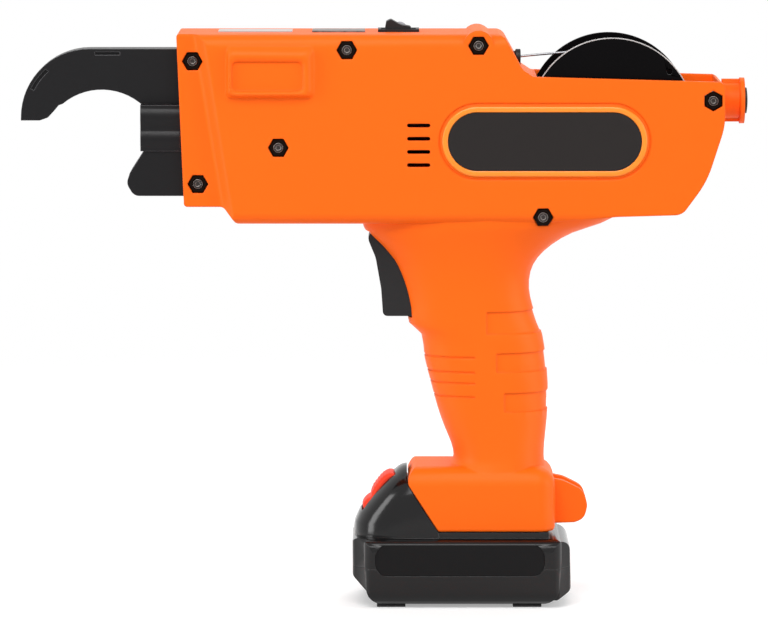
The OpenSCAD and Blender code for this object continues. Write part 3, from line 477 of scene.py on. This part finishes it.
class TYING_OT_films(bpy.types.Operator):
    """Finish the bare side plate and the films on the top face"""

    bl_idname = "tying.films"
    bl_label = "Plate and films"

    def execute(self, context):
        look = context.scene.tying_finish
        # Smooth dark film, a little warm and lighter than the battery
        plate = finish("Polycarbonate black film", linear("#1a1514"), roughness=0.4, grain_mm=0.35,
                       depth_mm=0.006, tone=0.1, sheen=0.05, specular=0.25)
        # The same kind of film in a neutral, deeper black
        panel_black = finish("Polypropylene black film", linear("#0b0a0b"), roughness=0.4, grain_mm=0.4,
                             depth_mm=0.006, tone=0.1, sheen=0.05, specular=0.15)
        # A pale film of one flat colour
        strip = finish("Vinyl pale film", look.strip, roughness=0.35, grain_mm=0.6, depth_mm=0.004,
                       tone=0.02, sheen=0.04)
        # A grey film clouded in small specks
        panel = finish("Vinyl grey film", linear("#6f6764"), roughness=0.4, grain_mm=2.2, depth_mm=0.004,
                       tone=0.9, sheen=0.05, drift_mm=2.5)
        films = {"label_plate": plate, "battery_plate": panel_black, "top_strip": strip, "top_panel": panel}
        for node, material in films.items():
            soften(node)
            paint(material, node)
        return {"FINISHED"}


class TYING_OT_battery(bpy.types.Operator):
    """Finish the battery, its feet and its release button"""

    bl_idname = "tying.battery"
    bl_label = "Battery"

    def execute(self, context):
        look = context.scene.tying_finish
        size = context.scene.tying_shape
        # Glossy black: dark sides and pale reflections along every shoulder
        case = finish("ABS moulded gloss black", look.battery, roughness=0.15, grain_mm=0.6,
                      depth_mm=0.004, tone=0.06, sheen=0.04, specular=0.32, edge_mm=0.5)
        # Satin red that keeps its colour under the overhead light on its slope
        red = finish("ABS moulded satin red", look.release, roughness=0.42, grain_mm=0.6,
                     depth_mm=0.004, specular=0.06)
        # Rubber gives a dull dark line at the floor
        rubber = finish("Rubber moulded", linear("#161516"), roughness=0.7, grain_mm=0.5, depth_mm=0.02)
        for node in ("battery_cover", "battery_tub"):
            soften(node, 0.5 * MM, 50)
            paint(case, node)
        soften("battery_feet", 0.3 * MM)
        paint(rubber, "battery_feet")
        pad = self.finger_pad(size)
        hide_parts("release_button")
        dress(pad, red)
        dress(self.crown(), case)
        return {"FINISHED"}

    def lobe(self, way, middle, reach, crest, fall, power):
        """A crest that falls with a power of the way from its middle."""
        return crest - fall * np.abs((way - middle) / reach) ** power

    def finger_pad(self, size):
        """The higher of two lobes along a slope, with cosine ribs on the upper one and rounded edges."""
        low, high = corners("release_button")
        press = next(j for j in frame["record"]["behaviour"]["joints"] if j["name"] == "release_press")
        out = -np.array(press["axis"])
        down = np.cross(out, ACROSS)
        # The solid is a block turned to the slope, so its box gives its thickness and length in mm
        slope = np.abs([[out[0], down[0]], [out[2], down[2]]])
        thick, long = np.linalg.solve(slope, (high - low)[[0, 2]]) / MM
        clearance = 0.2
        half = (high[1] - low[1]) / 2 / MM - clearance
        end = long / 2 - clearance
        bow = np.sin(np.linspace(-np.pi / 2, np.pi / 2, 41))
        z, y = np.meshgrid(np.linspace(-end, end, 121), half * bow, indexing="ij")
        upper = self.lobe(z, middle=-2.5, reach=7.5, crest=0.95, fall=2.25, power=3)
        lower = self.lobe(z, middle=7, reach=3, crest=0.45, fall=0.75, power=2)
        ribbed = np.clip(self.lobe(z, middle=-2.5, reach=5.5, crest=1, fall=1, power=2), 0, 1)
        ribbed *= self.lobe(y, middle=0, reach=half, crest=1, fall=1, power=8)
        ribs = size.rib_height / MM * np.cos(2 * np.pi * z / (size.rib_pitch / MM)) * ribbed
        rounding = 1.2 * (np.abs(y / half) ** 16 + np.abs(z / end) ** 24)
        camber = 0.45 * (y / half) ** 2
        rise = thick / 2 + np.maximum(upper, lower) + ribs - rounding - camber
        # Each ring goes over the top and back along the flat underside
        rise = np.concatenate([rise, np.full((len(z), 2), -thick / 2)], axis=1)[..., None]
        y = np.concatenate([y, y[:, -1:], y[:, :1]], axis=1)[..., None]
        rings = (low + high) / 2 + MM * (rise * out + y * ACROSS + z[:, :1, None] * down)
        return new_piece("release_pad", loft(rings), "release_button")

    def crown(self):
        """A saddle over the tower's top: its crest rises to the rear, and it falls away to both sides."""
        points = points_of("battery_cover")
        top = points[:, 2].max()
        rear = points[points[:, 2] > top - 0.3 * MM][:, 0].max()
        way = np.linspace(0, 1, 17)[:, None]
        share = np.sin(np.linspace(np.pi / 2, -np.pi / 2, 41))
        crest = between(-0.45, 1.95, 1 - (1 - way) ** 2)
        upper = self.lobe(share, middle=0, reach=1, crest=crest, fall=between(2, 5.6, way), power=2.4)
        lower = upper - between(0.4, 1.2, way)
        height = np.concatenate([upper, lower[:, ::-1]], axis=1)
        width = between(12, 17, way) * np.concatenate([share, share[::-1]])
        run = np.broadcast_to(between(-4.35, 0.5, way), height.shape)
        rings = np.array([rear, 0.0, top]) + MM * np.stack([run, width, height], -1)
        return new_piece("tower_crown", loft(rings), "battery")


class TYING_OT_fasteners(bpy.types.Operator):
    """Finish the nuts, screws and reel pin"""

    bl_idname = "tying.fasteners"
    bl_label = "Fasteners"

    def execute(self, context):
        size = context.scene.tying_shape
        # Dark plating, near black and brown, that also paints the shade in the nuts' pockets and all but
        # hides the nuts there
        dull_zinc_and_shade = finish("Steel black zinc", linear("#1c1512"), roughness=0.42, grain_mm=0.5, depth_mm=0.01,
                      tone=0.1, sheen=0.08, metallic=1.0)
        # Plain zinc: grey ends, with a painted highlight as a paler ring along their edges
        bright = finish("Steel bright zinc", linear("#3f3a38"), roughness=0.36, grain_mm=0.6, depth_mm=0.008,
                        tone=0.1, sheen=0.08, metallic=1.0, edge_mm=0.35, edge_wear_and_highlight=linear("#b9b0ab"))
        # Turned and nickel plated: a paler, even grey, with a painted highlight along the edges
        nickel = finish("Steel nickel plate", linear("#8d8a87"), roughness=0.3, grain_mm=0.6, depth_mm=0.006,
                        tone=0.06, metallic=1.0, edge_mm=0.5, edge_wear_and_highlight=linear("#d8d5d1"))
        soften("housing_nuts", 0.3 * MM)
        soften("housing_screws", 0.45 * MM)
        soften("reel_pin", 0.6 * MM)
        paint(dull_zinc_and_shade, "housing_nuts")
        paint(bright, "housing_screws", "reel_stub")
        paint(nickel, "reel_pin")
        for number, place in enumerate(self.heads(), 1):
            dress(self.button_head(f"screw_head_{number}", place, size), bright)
        return {"FINISHED"}

    def heads(self):
        """The middle of each screw's head, from the points of the node that the screws share."""
        left = points_of("housing_screws")
        reach = 8 * MM
        found = []
        while len(left):
            near = np.hypot(*(left - left[0])[:, [0, 2]].T) < reach
            low, high = left[near].min(axis=0), left[near].max(axis=0)
            found.append([(low[0] + high[0]) / 2, high[1], (low[2] + high[2]) / 2])
            left = left[~near]
        return found

    def button_head(self, name, place, size):
        """A low dome that rises with the square of the way in from its rim to a six sided socket."""
        sides = 48
        sunk, floor = -0.05 * MM, 0.1 * MM
        turn = np.linspace(0, 2 * np.pi, sides, endpoint=False)
        rim = np.full(sides, size.head)
        socket = size.socket / 2 / np.cos((turn + np.pi / 6) % (np.pi / 3) - np.pi / 6)
        way = np.linspace(1, 0, 7)[:, None]
        radius = np.concatenate([rim[None], between(socket, rim, way), socket[None]])
        height = np.concatenate([[sunk], size.dome * (1 - way[:, 0] ** 2), [floor]])
        side, up = (np.tile(axis, (len(height), 1)) for axis in ([0.0, 0.0, 1.0], [1.0, 0.0, 0.0]))
        surface = tube(place + height[:, None] * ACROSS, side, up, radius[..., None], sides)
        return new_piece(name, surface, "body")


class TYING_OT_drive(bpy.types.Operator):
    """Finish the drive, the boards and the cells inside"""

    bl_idname = "tying.drive"
    bl_label = "Drive"

    def execute(self, context):
        # Ground steel: bright, with soft streaks of light
        ground = finish("Steel ground", linear("#b9babd"), roughness=0.28, grain_mm=0.5, depth_mm=0.006,
                        tone=0.05, metallic=1.0)
        # Phosphated steel: dull and nearly black, which also paints the shade inside the housing seen
        # through the slots
        phosphated_and_shade = finish("Steel phosphated", linear("#1d1c1d"), roughness=0.4, grain_mm=0.8, depth_mm=0.008,
                        tone=0.05, metallic=1.0)
        # Sintered bronze: warm, with open pores
        bronze = finish("Bronze sintered", linear("#b58a45"), roughness=0.42, grain_mm=0.4, depth_mm=0.02,
                        tone=0.1, metallic=1.0)
        # Lacquered boards: an even green
        board = finish("Fibreglass board green", linear("#27633c"), roughness=0.4, grain_mm=0.7,
                       depth_mm=0.01)
        # Shrunk sleeves: a smooth blue with a clear shine
        sleeve = finish("Heat shrink blue", linear("#3f6fae"), roughness=0.3, grain_mm=0.8, depth_mm=0.01)
        # Plain moulded nylon: a flat grey
        nylon = finish("Nylon grey", linear("#4a4a4e"), roughness=0.45, grain_mm=0.5, depth_mm=0.01)
        paint(ground, "twist_spindle", "twist_hook", "feed_wheel", "pinch_wheel", "guide_tube",
              "cutter_die", "feed_bracket")
        paint(phosphated_and_shade, "twist_motor", "gearbox", "feed_motor")
        paint(bronze, "front_bush", "battery_contacts")
        paint(board, "control_board", "battery_board")
        paint(sleeve, "battery_cells")
        paint(nylon, "terminal_block")
        soften("twist_hook", 0.2 * MM)
        return {"FINISHED"}


class TYING_OT_stage(bpy.types.Operator):
    """Lay the pale floor, hang the soft lights and set the camera"""

    bl_idname = "tying.stage"
    bl_label = "Stage"

    def execute(self, context):
        stage = context.scene.tying_stage
        self.world(context.scene, stage)
        self.floor()
        self.light("overhead", place=(-0.1, -0.85, 1.05), size=(0.9, 0.7), power=11, target=(0, 0, 0.1))
        self.light("left", place=(-1.5, -0.5, 0.5), size=(0.5, 1.4), power=14.5)
        self.light("right", place=(1.5, -0.5, 0.5), size=(0.9, 1.4), power=13.5)
        self.light("front", place=(0.0, -1.7, 0.35), size=(1.6, 0.9), power=2, mirrored=False)
        self.light("rear", place=(0.3, 1.2, 0.9), size=(1.4, 1.0), power=17, mirrored=False)
        self.camera(context.scene, stage)
        context.scene.view_settings.view_transform = "Standard"
        return {"FINISHED"}

    def world(self, scene, stage):
        """White where the camera or a reflection looks, and a plain soft level for the rest."""
        world = bpy.data.worlds.new("studio")
        world.use_nodes = True
        tree = world.node_tree
        tree.nodes.clear()
        level = add(tree, "ShaderNodeMapRange", {}, {
            "Value": seen_by_eye(tree), "To Min": stage.fill, "To Max": 1.0})
        glow = add(tree, "ShaderNodeBackground", {}, {
            "Color": (1, 1, 1, 1), "Strength": level.outputs["Result"]})
        add(tree, "ShaderNodeOutputWorld", {}, {"Surface": glow.outputs["Background"]})
        scene.world = world

    def floor(self):
        """A flat square sheet of even steps."""
        steps = 9
        half_width = 1.0
        side = np.linspace(-half_width, half_width, steps)
        x, y = np.meshgrid(side, side, indexing="ij")
        points = np.stack([x, y, np.zeros_like(x)], -1).reshape(-1, 3)
        i, j = np.meshgrid(np.arange(steps - 1), np.arange(steps - 1), indexing="ij")
        a = (i * steps + j).ravel()
        faces = np.stack([a, a + steps, a + steps + 1, a + 1], -1)
        mesh = bpy.data.meshes.new("floor")
        mesh.from_pydata(points.tolist(), [], faces.tolist())
        mesh.materials.append(self.paper())
        floor = bpy.data.objects.new("floor", mesh)
        bpy.context.scene.collection.objects.link(floor)

    def paper(self):
        """White paper, lit up where it is looked at, that fades into the white background all round."""
        paper = bpy.data.materials.new("Paper white")
        paper.use_nodes = True
        tree = paper.node_tree
        tree.nodes.clear()
        glow = add(tree, "ShaderNodeMath", {"operation": "MULTIPLY"}, {0: seen_by_eye(tree), 1: 0.36})
        matt = add(tree, "ShaderNodeBsdfPrincipled", {}, {
            "Base Color": (0.7, 0.7, 0.7, 1), "Roughness": 0.9, "Specular IOR Level": 0.0,
            "Emission Color": (1, 1, 1, 1), "Emission Strength": glow.outputs[0]})
        place = add(tree, "ShaderNodeTexCoord", {}, {}).outputs["Object"]
        reach = add(tree, "ShaderNodeVectorMath", {"operation": "LENGTH"}, {0: place}).outputs["Value"]
        fade = add(tree, "ShaderNodeMapRange", {"interpolation_type": "SMOOTHSTEP"}, {
            "Value": reach, "From Min": 0.4, "From Max": 0.9})
        open_air = add(tree, "ShaderNodeBsdfTransparent", {}, {})
        sheet = add(tree, "ShaderNodeMixShader", {}, {
            0: fade.outputs["Result"], 1: matt.outputs["BSDF"], 2: open_air.outputs["BSDF"]})
        add(tree, "ShaderNodeOutputMaterial", {}, {"Surface": sheet.outputs["Shader"]})
        return paper

    def light(self, name, place, size, power, target=(0, 0, 0.12), mirrored=True):
        """A rectangular soft box turned towards a point, which glossy surfaces may mirror."""
        lamp = bpy.data.lights.new(name, "AREA")
        lamp.shape = "RECTANGLE"
        lamp.size, lamp.size_y = size
        lamp.energy = power
        obj = bpy.data.objects.new(name, lamp)
        obj.location = place
        obj.rotation_euler = (Vector(target) - Vector(place)).to_track_quat("-Z", "Y").to_euler()
        obj.visible_glossy = mirrored
        bpy.context.scene.collection.objects.link(obj)

    def camera(self, scene, stage):
        """A long lens at the photograph's height, on the middle of the near side."""
        data = bpy.data.cameras.new("camera")
        data.lens = stage.lens
        data.sensor_width = 36
        data.clip_start, data.clip_end = 0.01, 50
        obj = bpy.data.objects.new("camera", data)
        level = math.cos(stage.elevation)
        back = Vector((math.sin(stage.azimuth) * level, -math.cos(stage.azimuth) * level,
                       math.sin(stage.elevation)))
        obj.location = Vector(stage.aim) + back * stage.distance
        obj.rotation_euler = (-back).to_track_quat("-Z", "Y").to_euler()
        scene.collection.objects.link(obj)
        scene.camera = obj


class TYING_PT_panel(bpy.types.Panel):
    """Lists the settings and the pieces of the tool"""

    bl_label = "Tying Tool"
    bl_idname = "TYING_PT_panel"
    bl_space_type = "VIEW_3D"
    bl_region_type = "UI"
    bl_category = "Tying Tool"

    def draw(self, context):
        for name, group in SETTINGS.items():
            box = self.layout.box()
            for setting in group.__annotations__:
                box.prop(getattr(context.scene, name), setting)
        for operator in OPERATORS:
            self.layout.operator(operator.bl_idname)


OPERATORS = (TYING_OT_stage, TYING_OT_housing, TYING_OT_nose, TYING_OT_reel, TYING_OT_controls,
             TYING_OT_films, TYING_OT_battery, TYING_OT_fasteners, TYING_OT_drive)
SETTINGS = {"tying_finish": FinishSettings, "tying_shape": ShapeSettings, "tying_stage": StageSettings}


def register():
    for made in (*SETTINGS.values(), *OPERATORS, TYING_PT_panel):
        bpy.utils.register_class(made)
    for name, group in SETTINGS.items():
        setattr(bpy.types.Scene, name, bpy.props.PointerProperty(type=group))


def unregister():
    for name in SETTINGS:
        delattr(bpy.types.Scene, name)
    for made in reversed((*SETTINGS.values(), *OPERATORS, TYING_PT_panel)):
        bpy.utils.unregister_class(made)


def main():
    """Builds every piece in order."""
    register()
    bpy.ops.tying.stage()
    bpy.ops.tying.housing()
    bpy.ops.tying.nose()
    bpy.ops.tying.reel()
    bpy.ops.tying.controls()
    bpy.ops.tying.films()
    bpy.ops.tying.battery()
    bpy.ops.tying.fasteners()
    bpy.ops.tying.drive()


if __name__ == "__main__":
    main()
